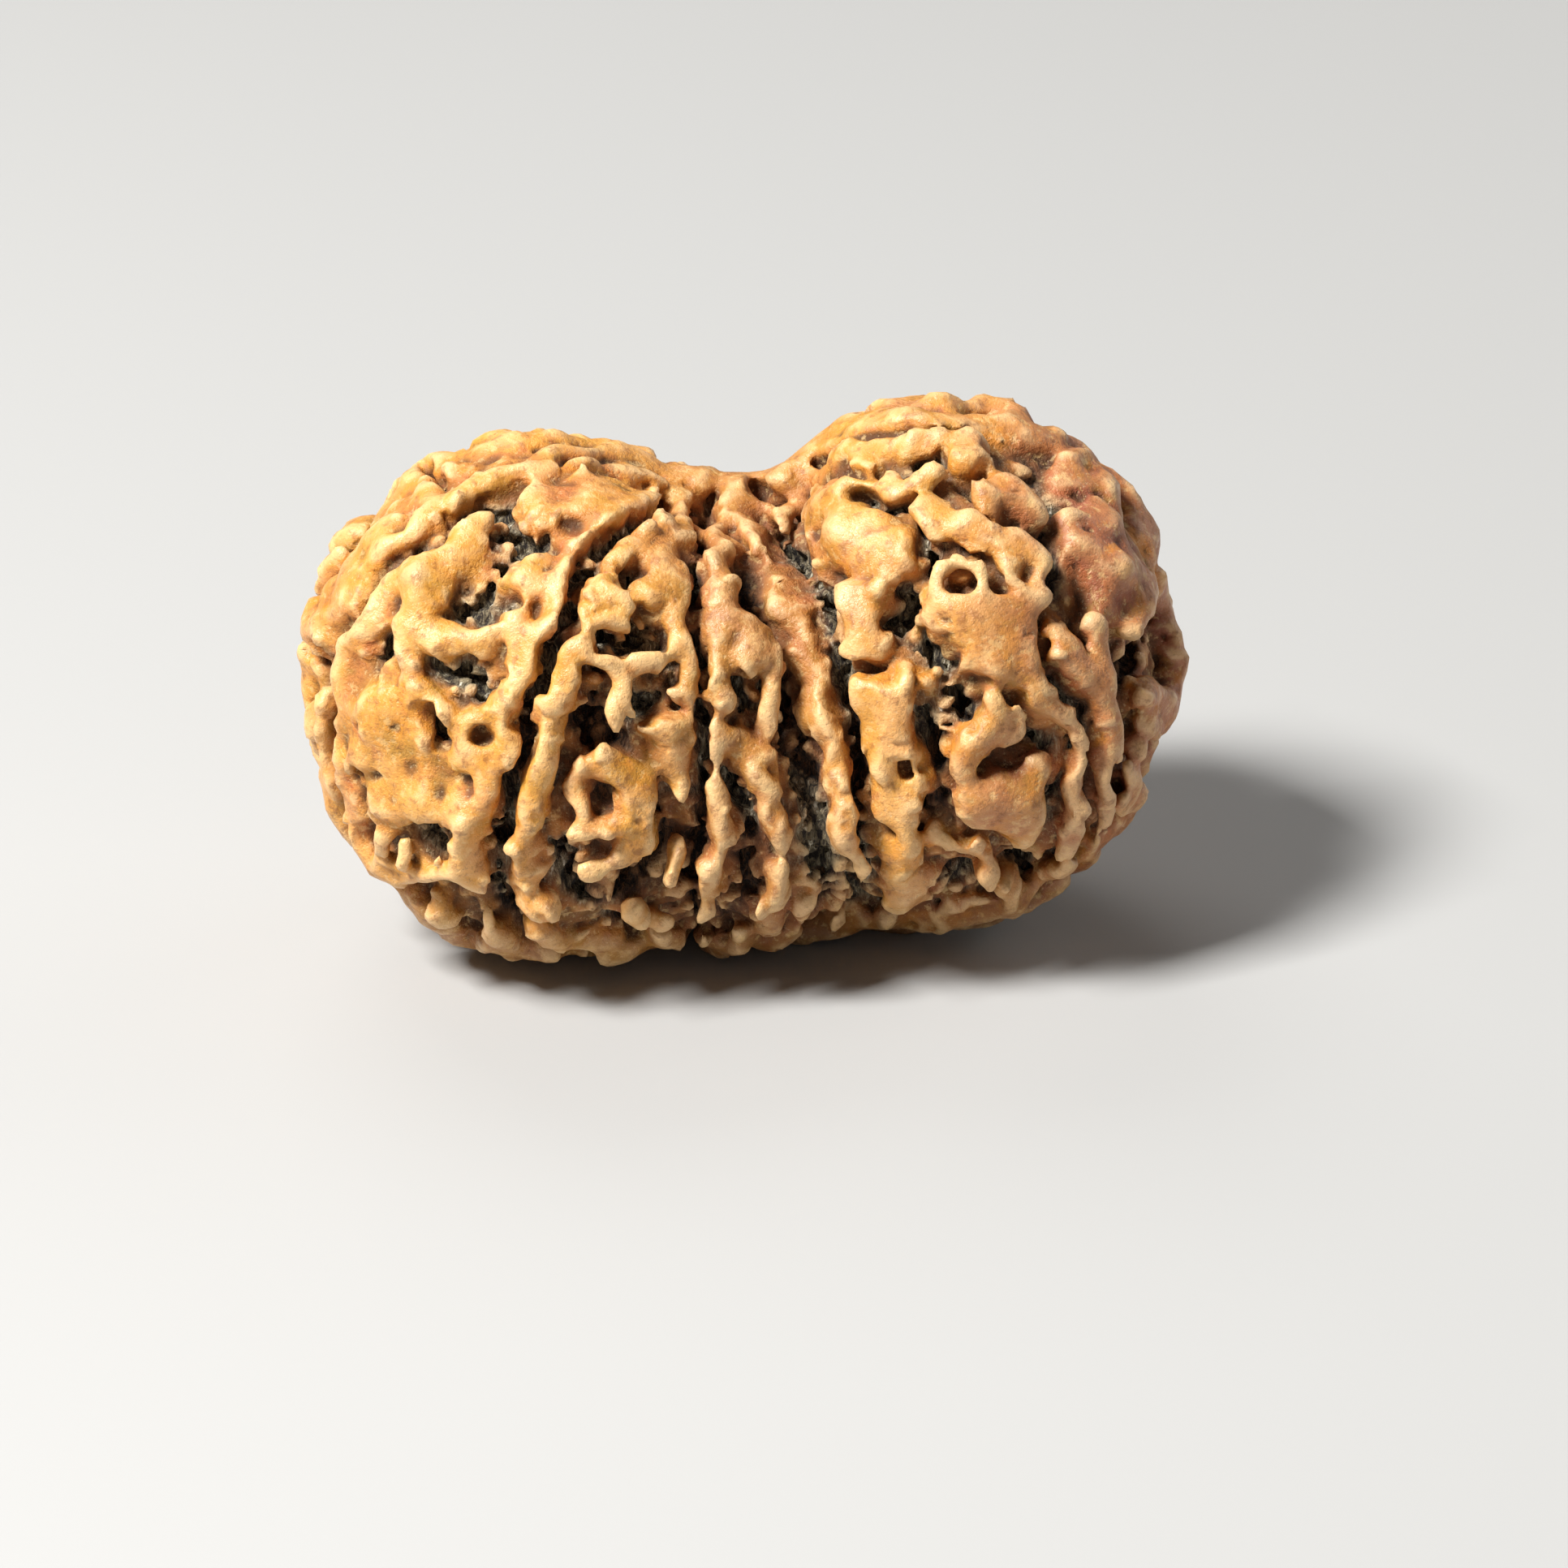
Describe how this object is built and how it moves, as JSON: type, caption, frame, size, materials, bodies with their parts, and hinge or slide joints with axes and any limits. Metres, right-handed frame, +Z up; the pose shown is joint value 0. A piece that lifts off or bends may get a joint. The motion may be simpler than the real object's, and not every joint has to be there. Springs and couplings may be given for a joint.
{
  "type": "gauri shankar rudraksha",
  "caption": "Two woody rudraksha seed stones grown together as one bead, with knobbed meridian ridges, deep clefts and pitted net, resting on a small flat spot",
  "frame": {"origin": "on the floor that the bead rests on, under the middle of its length and depth", "axes": "+X along the two lobes toward the taller one, -Y toward the front that the picture shows, +Z up along the axis on which the clefts meet"},
  "size_m": [0.0332, 0.0183, 0.0207],
  "materials": {
    "bead_wood": "satin"
  },
  "bodies": {
    "root": {"gauri_shankar_bead": "bead_wood"}
  },
  "joints": []
}
